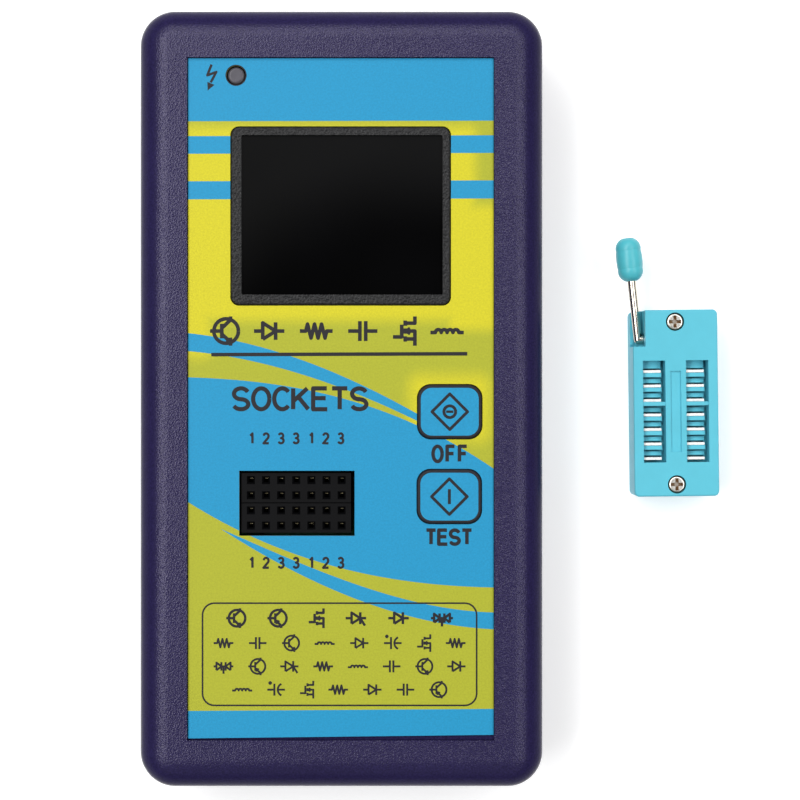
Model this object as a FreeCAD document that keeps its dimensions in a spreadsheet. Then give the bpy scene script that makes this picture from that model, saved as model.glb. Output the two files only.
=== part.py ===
"""Hand-held component tester with its plug-in lever socket, in millimetres.

The tester lies on its back. The origin is the centre of its rear face, +X is to its right,
+Y towards the display end and +Z out of the front panel. The lever socket (zero insertion
force, "zif" below) stands on its pins beside the tester, in the tester's own frame.
"""
import FreeCAD, Part
import math
import os
import re
import Sketcher

Vector = FreeCAD.Vector

# Driving dimensions. Every name becomes an alias in the spreadsheet "dims".
DIMENSIONS = {
    # enclosure
    "case_width": 68.4, "case_length": 131.6, "case_height": 25.0, "parting_height": 12.5,
    "corner_radius": 5.95, "edge_radius": 5.2, "draft_angle": 1.0, "wall": 2.2,
    "ceiling_height": 22.0, "seam_gap": 0.15, "lip_width": 0.9, "lip_height": 1.2,
    "inner_corner_radius": 3.0, "root_overlap": 0.5,
    # printed film and the recess it lies in
    "recess_width": 51.4, "recess_length": 114.3, "recess_floor": 24.0,
    "film_width": 51.2, "film_top_edge": 57.05, "film_left_foot": 56.9, "film_right_foot": 56.3,
    "film_thickness": 0.4,
    # display
    "bezel_x": -0.02, "bezel_y": 30.63, "bezel_width": 36.78, "bezel_length": 29.85,
    "bezel_corner": 1.45, "bezel_top": 24.7, "bezel_edge": 0.35, "bezel_flange": 1.6,
    "bezel_flange_thickness": 1.3,
    "window_x": 0.22, "window_y": 30.8, "window_width": 33.73, "window_length": 26.71,
    "window_corner": 0.25, "window_top": 23.95, "window_thickness": 1.2, "window_margin": 0.6,
    "bezel_gap": 0.02, "panel_thickness": 2.0, "flex_width": 18.0, "flex_reach": 2.6, "flex_thickness": 0.3,
    # test headers
    "header_hole_x": -7.5, "header_hole_y": -17.47, "pitch": 2.54, "header_columns": 7,
    "header_width": 18.4, "header_depth": 4.95, "header_height": 8.5,
    "header_open_x": -7.35, "header_open_y": -17.5, "header_open_width": 19.33,
    "header_open_length": 10.9, "header_hole": 0.8, "header_entry": 1.35, "entry_depth": 0.35,
    "entry_taper": 38.0, "leaf_width": 0.45, "leaf_thickness": 0.16, "leaf_offset": 0.28,
    "leaf_top": 6.9, "tail_length": 1.0,
    # keys and their switches
    "key_width": 10.8, "key_length": 9.1, "key_corner": 2.35, "key_top": 24.8, "key_edge": 0.32,
    "key_gap": 0.1, "key_flange": 0.8, "key_flange_thickness": 0.95, "stem_radius": 2.6,
    "off_key_x": 18.25, "off_key_y": -2.16, "test_key_x": 18.18, "test_key_y": -16.37,
    "switch_size": 6.2, "switch_height": 3.5, "switch_floor": 1.0, "plunger_radius": 1.7,
    "plunger_low": 1.6, "plunger_top": 20.6, "switch_leg_x": 3.25, "switch_leg_y": 2.25,
    "switch_leg_width": 0.7, "switch_leg_thickness": 0.3, "switch_leg_low": 2.4,
    # indicator
    "led_x": -17.55, "led_y": 54.2, "led_radius": 1.45, "led_ring_radius": 1.6, "led_top": 24.25,
    "led_edge": 0.5, "led_collar": 0.4, "led_base": 3.0, "led_leg": 0.5, "led_leg_spacing": 2.0,
    # main board and what it carries
    "board_top": 15.2, "board_thickness": 1.6, "board_half_width": 31.0, "board_near": -33.8,
    "board_far": 55.6, "chip_lift": 0.15, "chip_x": -20.0, "chip_y": 5.0, "chip_length": 10.2,
    "chip_depth": 5.3, "chip_height": 1.7, "chip_leads": 14, "chip_pitch": 0.65,
    "chip_lead_width": 0.34, "chip_lead_knee": 0.2, "chip_lead_reach": 1.0, "chip_lead_thickness": 0.15,
    "regulator_x": -23.75, "regulator_y": -10.25, "regulator_width": 6.5,
    "regulator_depth": 3.5, "regulator_height": 1.6, "tab_width": 3.0, "tab_depth": 1.6,
    "tab_height": 0.5, "crystal_x": 9.5, "crystal_y": 6.3, "crystal_length": 11.0,
    "crystal_width": 4.6, "crystal_height": 3.4, "crystal_corner": 2.2,
    "can_radius": 2.0, "can_height": 5.2, "can_seat": 4.3, "can_seat_height": 0.8,
    "can_a_x": -27.5, "can_a_y": -19.0, "can_b_x": -21.0, "can_b_y": -29.0, "can_c_x": 27.5,
    "can_c_y": -9.0, "resistor_count": 6,
    "resistor_length": 2.0, "resistor_width": 1.25, "resistor_height": 0.55,
    "resistor_x": -15.0, "resistor_spacing": 3.2, "resistor_far_y": -8.6,
    "resistor_near_y": -28.5,
    # fasteners
    "screw_x": 28.7, "screw_far_y": 58.9, "screw_near_y": 58.9, "screw_boss_radius": 2.9,
    "counterbore_radius": 2.35, "counterbore_depth": 4.6, "screw_radius": 1.25,
    "screw_head_radius": 2.15, "screw_head_height": 1.7, "screw_length": 12.0,
    "pilot_room": 0.05, "screw_room": 0.2, "pilot_floor": 2.0, "head_taper": 0.8,
    "cross_reach": 0.6, "cross_half": 0.16,
    "standoff_x": 28.0, "standoff_far_y": 50.5, "standoff_near_y": -30.9,
    "standoff_radius": 2.3, "board_screw_radius": 1.0, "board_screw_head_radius": 1.9,
    "board_screw_head_height": 1.4, "board_screw_length": 6.0,
    # battery bay and door
    "bay_half_width": 25.8, "bay_near": -63.2, "bay_far": -36.0, "bay_wall": 1.2,
    "bay_wall_top": 11.8, "lead_notch_x": 23.3, "lead_notch_width": 4.6, "lead_notch_low": 10.0,
    "door_half_width": 25.5, "door_far": -36.4, "door_height": 5.5,
    "door_gap": 0.15, "door_thickness": 2.0, "tongue_width": 0.9, "tongue_low": 1.0,
    "tongue_high": 1.8, "tongue_length": 21.0, "tongue_setback": 3.0, "catch_width": 10.0,
    "catch_reach": 1.4, "grip_width": 18.0, "grip_depth": 0.3, "grip_thickness": 0.8,
    "grip_spacing": 1.6, "grip_count": 5, "grip_setback": 6.6,
    "battery_length": 46.2, "battery_depth": 26.3, "battery_height": 17.0, "battery_edge": 1.2,
    "battery_x": -25.0, "battery_y": -62.95, "battery_z": 2.6, "terminal_spacing": 12.7,
    "stud_radius": 2.7, "socket_radius": 3.4, "terminal_height": 1.9, "snap_thickness": 2.4,
    "snap_inset": 0.4, "snap_drop": 2.5, "snap_edge": 0.6, "foam_length": 34.0,
    "foam_thickness": 2.2, "foam_inset": 2.0, "foam_gap": 0.05,
    "lead_radius": 0.65, "lead_bend": 1.9, "lead_rise": 8.9, "lead_board_inset": 2.4,
    "red_lead_x": 22.2, "black_lead_x": 24.3,
    # lever socket, beside the tester and lying a little askew
    "zif_x": 58.08, "zif_y": -0.73, "zif_turn": 0.7, "zif_width": 14.8, "zif_length": 32.6,
    "zif_corner": 0.9, "zif_edge": 0.35, "zif_base_low": 3.0, "zif_base_top": 5.8,
    "zif_top": 10.8, "zif_row": 3.81, "zif_window_row": 3.76,
    "zif_window_width": 3.9, "zif_window_length": 17.78, "zif_window_top": 7.44,
    "zif_plate_half": 6.0, "zif_plate_length": 21.8, "zif_plate_y": -0.5,
    "zif_plate_thickness": 1.2, "zif_plate_room": 0.3,
    "zif_rib_left": -1.85, "zif_rib_right": 1.4, "zif_rib_top": 9.6, "zif_fixed_rib_top": 8.5,
    "zif_blade_top": 9.75, "zif_neck_top": 7.4, "blade_width": 3.05, "blade_x": -0.25,
    "blade_thickness": 0.44, "pin_thickness": 0.25, "neck_width": 1.1, "pin_width": 0.5,
    "fork_gap": 0.9, "fork_depth": 0.25, "blade_y": 1.87, "pin_gap": 0.05,
    "end_rib_y": 0.615, "end_rib_deep": 1.43, "fixed_rib_y": 0.98, "fixed_rib_deep": 0.7,
    "slider_rib_y": 2.5, "slider_rib_deep": 0.72, "plate_slot_y": 1.8, "plate_slot_deep": 0.9,
    "bar_y": 2.45, "bar_deep": 0.66, "rail_height": 0.6, "rail_y": 13.1, "rail_length": 5.4,
    "zif_groove_width": 1.8, "zif_groove_length": 14.1, "zif_groove_y": -1.45,
    "zif_groove_depth": 0.35, "zif_bar_low": 9.8, "zif_bar_top": 10.55,
    "zif_screw_y": 14.2, "zif_screw_head_radius": 1.5, "zif_screw_radius": 0.85,
    "zif_screw_head_height": 1.0, "zif_screw_length": 5.6, "zif_screw_drop": 0.1,
    "zif_screw_room": 0.1, "zif_cross_reach": 1.05, "zif_cross_half": 0.28,
    "zif_cross_depth": 0.6, "zif_head_edge": 0.4,
    "lever_pivot_y": 11.2, "lever_pivot_z": 7.3, "lever_radius": 0.75, "lever_x": -6.09,
    "lever_bar_end": 5.0, "bar_room": 1.15, "cam_rise": 0.3, "cam_start": 0.3,
    "cam_length": 0.45, "lever_length": 10.4, "lever_lean": 5.5, "knob_radius": 2.3,
    "knob_length": 7.6, "knob_flat": 0.9, "knob_shoulder": 2.2, "knob_waist": 0.12,
    "notch_left": 5.2, "notch_near": 9.9,
}

doc = FreeCAD.newDocument("component_tester")
sheet = doc.addObject("Spreadsheet::Sheet", "dims")
for row, (alias, value) in enumerate(DIMENSIONS.items(), start=1):
    sheet.set("A%d" % row, alias)
    sheet.set("B%d" % row, str(value))
    sheet.setAlias("B%d" % row, alias)
doc.recompute()

NODES = []          # the finished sub-parts, in the order they are made


# ------------------------------------------------------------------ small helpers
def formula(text):
    """Turn 'wall + seam_gap' into an expression on the spreadsheet's cells."""
    return re.sub(r"[A-Za-z_]\w*", lambda m: "dims." + m.group(0) if m.group(0) in DIMENSIONS
                  else m.group(0), str(text))


def size(text):
    """The number that a formula on the spreadsheet's cells gives."""
    return float(sheet.evalExpression(formula(text)))


def bind(obj, **properties):
    """Bind properties to formulas. Base_x stands for Placement.Base.x."""
    for name, text in properties.items():
        path = name.replace("Base_", "Placement.Base.")
        obj.setExpression(path, formula(text))


def finished(obj, label):
    """Name an object as a finished sub-part."""
    obj.Label = label
    NODES.append(obj)
    return obj


def box(x, y, z, dx, dy, dz):
    """A box from its low corner and its three sizes."""
    obj = doc.addObject("Part::Box", "Box")
    bind(obj, Length=dx, Width=dy, Height=dz, Base_x=x, Base_y=y, Base_z=z)
    return obj


def block(x, y, low, high, dx, dy):
    """A box centred on x and y, from one height to another."""
    return box("(%s) - (%s) / 2" % (x, dx), "(%s) - (%s) / 2" % (y, dy), low,
               dx, dy, "(%s) - (%s)" % (high, low))


def rod(x, y, low, high, radius):
    """An upright cylinder from one height to another."""
    obj = doc.addObject("Part::Cylinder", "Rod")
    bind(obj, Radius=radius, Height="(%s) - (%s)" % (high, low), Base_x=x, Base_y=y, Base_z=low)
    return obj


def fuse(*objects):
    obj = doc.addObject("Part::MultiFuse", "Fuse")
    obj.Shapes = list(objects)
    obj.Refine = True
    return obj


def cut(base, *tools):
    obj = doc.addObject("Part::Cut", "Cut")
    obj.Base = base
    obj.Tool = tools[0] if len(tools) == 1 else fuse(*tools)
    obj.Refine = True
    return obj


def rounded(obj, radius, chosen):
    """Round the edges of an object that chosen(edge) picks."""
    doc.recompute()
    fillet = doc.addObject("Part::Fillet", "Rounded")
    fillet.Base = obj
    r = size(radius)
    fillet.Edges = [(i, r, r) for i, edge in enumerate(obj.Shape.Edges, start=1) if chosen(edge)]
    return fillet


def upright(edge):
    a, b = edge.Vertexes[0].Point, edge.Vertexes[-1].Point
    return abs(a.x - b.x) < 1e-6 and abs(a.y - b.y) < 1e-6 and abs(a.z - b.z) > 1e-6


def at_height(z):
    """A test for edges that lie at one height."""
    return lambda edge: all(abs(v.Z - z) < 1e-4 for v in edge.Vertexes)


def rounded_block(x, y, low, high, dx, dy, radius):
    return rounded(block(x, y, low, high, dx, dy), radius, upright)


def level_rod(x, y, z, length, radius, heading):
    """A cylinder that lies level: from a point, towards a heading in degrees from +X."""
    obj = doc.addObject("Part::Cylinder", "LevelRod")
    bind(obj, Radius=radius, Height=length, Base_x=x, Base_y=y, Base_z=z)
    level = FreeCAD.Rotation(Vector(0, 1, 0), 90)
    obj.Placement.Rotation = FreeCAD.Rotation(Vector(0, 0, 1), heading).multiply(level)
    return obj


def group_of(objects):
    """Several separate solids as one object."""
    obj = doc.addObject("Part::Compound", "Group")
    obj.Links = list(objects)
    return obj


def group(objects, label):
    """One sub-part made of several separate solids, such as a set of contacts."""
    return finished(group_of(objects), label)


# ------------------------------------------------------------------ sketches and bodies
def new_body(label):
    body = doc.addObject("PartDesign::Body", "Body")
    body.Label = label
    return body


def level_sketch(body, level):
    """An empty sketch on the body's XY plane, lifted to a level."""
    plane = [f for f in body.Origin.OriginFeatures if f.Role == "XY_Plane"][0]
    sketch = body.newObject("Sketcher::SketchObject", "Sketch")
    sketch.AttachmentSupport = [(plane, "")]
    sketch.MapMode = "FlatFace"
    sketch.setExpression("AttachmentOffset.Base.z", formula(level))
    return sketch


def add_polygon(sketch, corners):
    """A closed outline whose corners are pairs of formulas."""
    points = [Vector(size(x), size(y), 0) for x, y in corners]
    first = sketch.GeometryCount
    count = len(points)
    for i in range(count):
        sketch.addGeometry(Part.LineSegment(points[i], points[(i + 1) % count]), False)
    for i in range(count):
        sketch.addConstraint(Sketcher.Constraint("Coincident", first + i, 2,
                                                 first + (i + 1) % count, 1))
    for i, (x, y) in enumerate(corners):
        for kind, text, value in (("DistanceX", x, points[i].x), ("DistanceY", y, points[i].y)):
            number = sketch.addConstraint(Sketcher.Constraint(kind, -1, 1, first + i, 1, value))
            sketch.setExpression("Constraints[%d]" % number, formula(text))


def add_rectangle(sketch, x, y, dx, dy):
    left, right = "(%s) - (%s) / 2" % (x, dx), "(%s) + (%s) / 2" % (x, dx)
    near, far = "(%s) - (%s) / 2" % (y, dy), "(%s) + (%s) / 2" % (y, dy)
    add_polygon(sketch, [(left, near), (right, near), (right, far), (left, far)])


def feature(body, kind, sketch, length, upward, **options):
    """A Pad or Pocket of a sketch, upward or downward from its level."""
    obj = body.newObject("PartDesign::" + kind, kind)
    obj.Profile = sketch
    obj.Reversed = upward != (kind == "Pad")
    obj.setExpression("Length", formula(length))
    for name, text in options.items():
        obj.setExpression(name, formula(text))
    doc.recompute()
    sketch.Visibility = False
    return obj


def body_fillet(body, radius, chosen):
    """Round the chosen edges of the body's last feature."""
    base = body.Tip
    names = ["Edge%d" % i for i, edge in enumerate(base.Shape.Edges, start=1) if chosen(edge)]
    fillet = body.newObject("PartDesign::Fillet", "Fillet")
    fillet.Base = (base, names)
    fillet.setExpression("Radius", formula(radius))
    doc.recompute()
    return fillet


def case_half(label, level, height, upward):
    """The outside of one half of the enclosure: drafted walls and a rounded shoulder."""
    body = new_body(label)
    sketch = level_sketch(body, level)
    add_rectangle(sketch, "0", "0", "case_width", "case_length")
    feature(body, "Pad", sketch, height, upward, TaperAngle="0 - draft_angle")
    face_height = size(level) + size(height) * (1 if upward else -1)
    body_fillet(body, "corner_radius",
                lambda e: abs(e.Vertexes[0].Z - e.Vertexes[-1].Z) > 1.0)
    body_fillet(body, "edge_radius", at_height(face_height))
    return body


# ------------------------------------------------------------------ enclosure
def four(x, far_y, near_y):
    """The four places that mirrored fasteners take."""
    return [("%s%s" % (sign, x), y) for y in (far_y, near_y) for sign in ("", "0 - ")]


CASE_SCREWS = four("screw_x", "screw_far_y", "0 - screw_near_y")
BOARD_SCREWS = four("standoff_x", "standoff_far_y", "standoff_near_y")
CAPACITORS = [("can_%s_x" % name, "can_%s_y" % name) for name in "abc"]
KEYS = {"off": ("off_key_x", "off_key_y"), "test": ("test_key_x", "test_key_y")}


def inner_block(low, high, inset):
    """A block that follows the inside of the walls."""
    return rounded_block("0", "0", low, high, "case_width - 2 * (%s)" % inset,
                         "case_length - 2 * (%s)" % inset, "inner_corner_radius")


def panel_openings(low):
    """Everything that opens through the front panel above a height."""
    openings = [
        rounded_block("bezel_x", "bezel_y", low, "case_height + 1", "bezel_width + 2 * key_gap",
                      "bezel_length + 2 * key_gap", "bezel_corner"),
        block("header_open_x", "header_open_y", low, "case_height + 1", "header_open_width",
              "header_open_length"),
        rod("led_x", "led_y", low, "case_height + 1", "led_ring_radius"),
    ]
    for x, y in KEYS.values():
        openings.append(rounded_block(x, y, low, "case_height + 1", "key_width + 2 * key_gap",
                                      "key_length + 2 * key_gap", "key_corner"))
    return openings


def front_case():
    outside = case_half("front_outside", "parting_height + seam_gap",
                        "case_height - parting_height - seam_gap", True)
    hollow = inner_block("parting_height - 1", "ceiling_height", "wall")
    rebate = inner_block("parting_height - 1", "parting_height + lip_height + seam_gap",
                         "wall - lip_width - seam_gap")
    recess = box("0 - recess_width / 2", "0 - recess_length / 2", "recess_floor",
                 "recess_width", "recess_length", "case_height - recess_floor + 1")
    shell = cut(outside, hollow, rebate, recess, *panel_openings("ceiling_height - 1"))
    posts = [rod(x, y, "parting_height + seam_gap", "ceiling_height + root_overlap", "screw_boss_radius")
             for x, y in CASE_SCREWS]
    posts += [rod(x, y, "board_top", "ceiling_height + root_overlap", "standoff_radius")
              for x, y in BOARD_SCREWS]
    pilots = [rod(x, y, "parting_height - 1", "ceiling_height - pilot_floor",
                  "screw_radius + pilot_room") for x, y in CASE_SCREWS]
    pilots += [rod(x, y, "board_top - 1", "ceiling_height - pilot_floor / 2",
                   "board_screw_radius + pilot_room") for x, y in BOARD_SCREWS]
    return finished(cut(fuse(shell, *posts), *pilots), "front_case")


def rear_outside():
    return case_half("rear_outside", "parting_height", "parting_height", False)


def rear_case(outside):
    hollow = inner_block("wall", "parting_height + 1", "wall")
    lip_outer = inner_block("parting_height - 1", "parting_height + lip_height",
                            "wall - lip_width")
    lip_inner = inner_block("parting_height - 2", "parting_height + 2 * lip_height", "wall")
    bay_depth = "bay_far - bay_near"
    bay_y = "(bay_far + bay_near) / 2"
    bay_outer = block("0", bay_y, "wall - root_overlap", "bay_wall_top", "2 * (bay_half_width + bay_wall)",
                      bay_depth + " + 2 * bay_wall")
    bay_inner = block("0", bay_y, "wall - 1", "parting_height + 1", "2 * bay_half_width",
                      bay_depth)
    posts = [rod(x, y, "wall - root_overlap", "parting_height", "screw_boss_radius")
             for x, y in CASE_SCREWS]
    lip = cut(lip_outer, lip_inner)
    body = fuse(cut(outside, hollow), cut(bay_outer, bay_inner), lip, *posts)
    door_way = box("0 - door_half_width - door_gap", "0 - case_length", "0 - 1",
                   "2 * (door_half_width + door_gap)", "case_length + door_far + door_gap",
                   "1 + door_height + door_gap")
    tongue_way = box("0 - door_half_width - tongue_width - door_gap", "0 - case_length",
                     "tongue_low - door_gap", "2 * (door_half_width + tongue_width + door_gap)",
                     "case_length + door_far - tongue_setback / 2",
                     "tongue_high - tongue_low + 2 * door_gap")
    catch_way = block("0", "door_far", "tongue_low - door_gap", "tongue_high + door_gap",
                      "catch_width + 2 * door_gap", "2 * (catch_reach + door_gap)")
    lead_notch = block("lead_notch_x", "bay_far + bay_wall / 2", "lead_notch_low",
                       "parting_height + 1", "lead_notch_width", "3 * bay_wall")
    holes = [rod(x, y, "0 - 1", "counterbore_depth", "counterbore_radius")
             for x, y in CASE_SCREWS]
    holes += [rod(x, y, "0 - 1", "parting_height + 2", "screw_radius + screw_room")
              for x, y in CASE_SCREWS]
    return finished(cut(body, door_way, tongue_way, catch_way, lead_notch, *holes), "rear_case")


def battery_door(outside):
    """A sliding cover: rear panel and the rounded lower part of the end wall."""
    region = box("0 - door_half_width", "0 - case_length", "0 - 1", "2 * door_half_width",
                 "case_length + door_far", "1 + door_height")
    skin = doc.addObject("Part::MultiCommon", "DoorSkin")
    skin.Shapes = [outside, region]
    hollow = box("0 - bay_half_width", "0 - case_length / 2 + door_thickness",
                 "door_thickness", "2 * bay_half_width", "case_length", "case_height")
    tongues = [box(x, "door_far - tongue_setback - tongue_length", "tongue_low",
                   "2 * tongue_width", "tongue_length", "tongue_high - tongue_low")
               for x in ("door_half_width - tongue_width", "0 - door_half_width - tongue_width")]
    catch = box("0 - catch_width / 2", "door_far - 1", "tongue_low", "catch_width",
                "1 + catch_reach", "tongue_high - tongue_low")
    grips = [block("0", "door_far - grip_setback - grip_spacing * %d" % i, "0 - 1", "grip_depth",
                   "grip_width", "grip_thickness") for i in range(int(size("grip_count")))]
    door = fuse(cut(skin, hollow), catch, *tongues)
    return finished(cut(door, *grips), "battery_door")


def lengthwise(edge):
    """True for edges that run along X."""
    return abs(edge.Vertexes[0].X - edge.Vertexes[-1].X) > 1.0


def battery():
    """A nine-volt block with its two snap terminals, the snap-on plate and foam."""
    mid_y = "battery_y + battery_depth / 2"
    mid_z = "battery_z + battery_height / 2"
    cell = box("battery_x", "battery_y", "battery_z", "battery_length", "battery_depth",
               "battery_height")
    finished(rounded(cell, "battery_edge", lengthwise), "battery_9v")
    end_x = "battery_x + battery_length"
    stud = level_rod(end_x, mid_y + " - terminal_spacing / 2", mid_z, "terminal_height",
                     "stud_radius", 0)
    socket = level_rod(end_x, mid_y + " + terminal_spacing / 2", mid_z, "terminal_height",
                       "socket_radius", 0)
    group([stud, socket], "battery_terminals")
    plate = box(end_x + " + terminal_height", "battery_y + snap_inset", "battery_z + snap_drop",
                "snap_thickness", "battery_depth - 2 * snap_inset",
                "battery_height - 2 * snap_drop")
    finished(rounded(plate, "snap_edge", lengthwise), "battery_snap")
    pad_low = "battery_z + battery_height + foam_gap"
    finished(block("battery_x + battery_length / 2", mid_y, pad_low,
                   pad_low + " + foam_thickness", "foam_length",
                   "battery_depth - 2 * foam_inset"), "battery_foam")


def lead(label, along_x):
    """A battery lead: straight off the snap plate, over the bay wall and up to the board."""
    radius, bend = size("lead_radius"), size("lead_bend")
    x, z = size(along_x), size("battery_z + lead_rise")
    start_y = size("battery_y + battery_depth - snap_inset")
    end_y, end_z = size("board_near + lead_board_inset"), size("board_top - board_thickness")
    corner = Vector(x, end_y, z)
    before, after = corner - Vector(0, bend, 0), corner + Vector(0, 0, bend)
    middle = corner + Vector(0, -bend, bend) + Vector(0, 1, -1).normalize() * bend
    path = Part.Wire([
        Part.LineSegment(Vector(x, start_y, z), before).toShape(),
        Part.Arc(before, middle, after).toShape(),
        Part.LineSegment(after, Vector(x, end_y, end_z)).toShape(),
    ])
    ring = Part.Wire(Part.makeCircle(radius, Vector(x, start_y, z), Vector(0, 1, 0)))
    tube = doc.addObject("Part::Feature", "Lead")
    tube.Shape = path.makePipeShell([ring], True, False)
    return finished(tube, label)


def screws(label, places, low, head, head_height, shank, length):
    """Cross-head screws, heads down at a height, shanks upward."""
    made = []
    middle = "%s + %s / 2" % (low, head_height)
    for x, y in places:
        taper = doc.addObject("Part::Cone", "Taper")
        bind(taper, Radius1="head_taper * " + head, Radius2=head, Height=head_height + " / 2",
             Base_x=x, Base_y=y, Base_z=low)
        rim = rod(x, y, middle, "%s + %s" % (low, head_height), head)
        thread = rod(x, y, middle, "%s + %s + %s" % (low, head_height, length), shank)
        reach, half = "2 * cross_reach * " + head, "2 * cross_half * " + head
        cross = [block(x, y, low + " - 1", middle, reach, half),
                 block(x, y, low + " - 1", middle, half, reach)]
        made.append(cut(fuse(taper, rim, thread), *cross))
    return group(made, label)


# ------------------------------------------------------------------ panel pieces
def overlay_film():
    body = new_body("film_outline")
    sketch = level_sketch(body, "recess_floor")
    add_polygon(sketch, [("0 - film_width / 2", "0 - film_left_foot"),
                         ("film_width / 2", "0 - film_right_foot"),
                         ("film_width / 2", "film_top_edge"),
                         ("0 - film_width / 2", "film_top_edge")])
    feature(body, "Pad", sketch, "film_thickness", True)
    return finished(cut(body, *panel_openings("recess_floor - 1")), "overlay_film")


def display():
    flange_low = "ceiling_height - bezel_flange_thickness"
    frame = rounded_block("bezel_x", "bezel_y", flange_low, "bezel_top", "bezel_width",
                          "bezel_length", "bezel_corner")
    frame = rounded(frame, "bezel_edge", at_height(size("bezel_top")))
    flange = block("bezel_x", "bezel_y", flange_low, "ceiling_height - bezel_gap",
                   "bezel_width + 2 * bezel_flange", "bezel_length + 2 * bezel_flange")
    opening = rounded_block("window_x", "window_y", flange_low + " - 1", "bezel_top + 1",
                            "window_width", "window_length", "window_corner")
    seat = block("window_x", "window_y", flange_low + " - 1", "window_top",
                 "window_width + 2 * window_margin", "window_length + 2 * window_margin")
    finished(cut(fuse(frame, flange), opening, seat), "display_bezel")
    glass_low = "window_top - window_thickness"
    panel_low = glass_low + " - panel_thickness"
    layers = [("display_window", glass_low, "window_top - bezel_gap", 1),
              ("lcd_panel", panel_low, glass_low + " - bezel_gap", 3),
              ("lcd_backlight", "board_top + flex_thickness", panel_low, 5)]
    for label, low, high, steps_in in layers:
        grown = "2 * (window_margin - %d * bezel_gap)" % steps_in
        finished(block("window_x", "window_y", low, high, "window_width + " + grown,
                       "window_length + " + grown), label)
    edge_y = "window_y - window_length / 2 - window_margin"
    ribbon = block("window_x", edge_y + " - flex_reach / 2", "board_top",
                   "board_top + flex_thickness", "flex_width", "flex_reach")
    riser = block("window_x", edge_y + " - flex_thickness / 2", "board_top",
                  flange_low + " - bezel_gap", "flex_width", "flex_thickness")
    finished(fuse(ribbon, riser), "lcd_flex")


def test_header(label, row_y):
    """A two-row socket strip: square wells with tapered mouths, patterned along the row."""
    body = new_body(label)
    block_sketch = level_sketch(body, "board_top")
    add_rectangle(block_sketch, "header_hole_x", row_y, "header_width", "header_depth")
    feature(body, "Pad", block_sketch, "header_height", True)
    wells = []
    for opening, depth, options in (
            ("header_entry", "entry_depth", {"TaperAngle": "0 - entry_taper"}),
            ("header_hole", "header_height + 1", {})):
        sketch = level_sketch(body, "board_top + header_height")
        for side in ("-", "+"):
            add_rectangle(sketch, "header_hole_x - (header_columns - 1) / 2 * pitch",
                          "%s %s pitch / 2" % (row_y, side), opening, opening)
        wells.append(feature(body, "Pocket", sketch, depth, False, **options))
    pattern = body.newObject("PartDesign::LinearPattern", "Wells")
    pattern.Originals = wells
    pattern.Direction = (wells[0].Profile[0], ["H_Axis"])
    pattern.setExpression("Length", formula("pitch * (header_columns - 1)"))
    pattern.Occurrences = int(size("header_columns"))
    body.Tip = pattern
    return finished(body, label)


HEADER_ROWS = range(4)      # two strips of two rows


def header_row_y(row):
    """The y of one row of wells, counted from the near one."""
    return "header_hole_y + (%d - %d / 2) * pitch" % (row, len(HEADER_ROWS) - 1)


def header_contacts():
    """One spring leaf in every well, its solder tail through the board."""
    leaves = []
    for row in HEADER_ROWS:
        for column in range(int(size("header_columns"))):
            x = "header_hole_x + (%d - (header_columns - 1) / 2) * pitch" % column
            leaves.append(block(x, header_row_y(row) + " + leaf_offset",
                                "board_top - board_thickness - tail_length",
                                "board_top + leaf_top", "leaf_width", "leaf_thickness"))
    return group(leaves, "header_contacts")


def corners_about(x, y, dx, dy):
    """The four points at a distance either side of a point."""
    return [("%s %s %s" % (x, sx, dx), "%s %s %s" % (y, sy, dy))
            for sx in ("-", "+") for sy in ("-", "+")]


def key(name, x, y):
    """A domed film key on its actuator, held under the panel by a flange."""
    flange_low = "ceiling_height - key_flange_thickness - 2 * key_gap"
    cap = rounded_block(x, y, flange_low, "key_top", "key_width", "key_length", "key_corner")
    cap = rounded(cap, "key_edge", at_height(size("key_top")))
    flange = block(x, y, flange_low, "ceiling_height - 2 * key_gap",
                   "key_width + 2 * key_flange", "key_length + 2 * key_flange")
    stem = rod(x, y, "plunger_top", "ceiling_height", "stem_radius")
    finished(fuse(cap, flange, stem), name + "_key_cap")
    housing = block(x, y, "board_top", "board_top + switch_height", "switch_size", "switch_size")
    well = rod(x, y, "board_top + switch_floor", "board_top + switch_height + 1",
               "plunger_radius + key_gap")
    finished(cut(housing, well), name + "_switch_body")
    finished(rod(x, y, "board_top + plunger_low", "plunger_top", "plunger_radius"),
             name + "_switch_plunger")
    legs = [block(leg_x, leg_y, "board_top - switch_leg_low", "board_top + plunger_low",
                  "switch_leg_thickness", "switch_leg_width")
            for leg_x, leg_y in corners_about(x, y, "switch_leg_x", "switch_leg_y")]
    group(legs, name + "_switch_legs")


LED_LEGS = ("led_x - led_leg_spacing / 2", "led_x + led_leg_spacing / 2")


def indicator_led():
    base = "board_top + led_base"
    lens = rounded(rod("led_x", "led_y", base, "led_top", "led_radius"), "led_edge",
                   at_height(size("led_top")))
    collar = rod("led_x", "led_y", base, base + " + 2 * led_leg", "led_radius + led_collar")
    legs = [block(x, "led_y", "board_top - board_thickness - 2 * led_leg", base + " + led_leg",
                  "led_leg", "led_leg") for x in LED_LEGS]
    return finished(fuse(lens, collar, *legs), "indicator_led")


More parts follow.
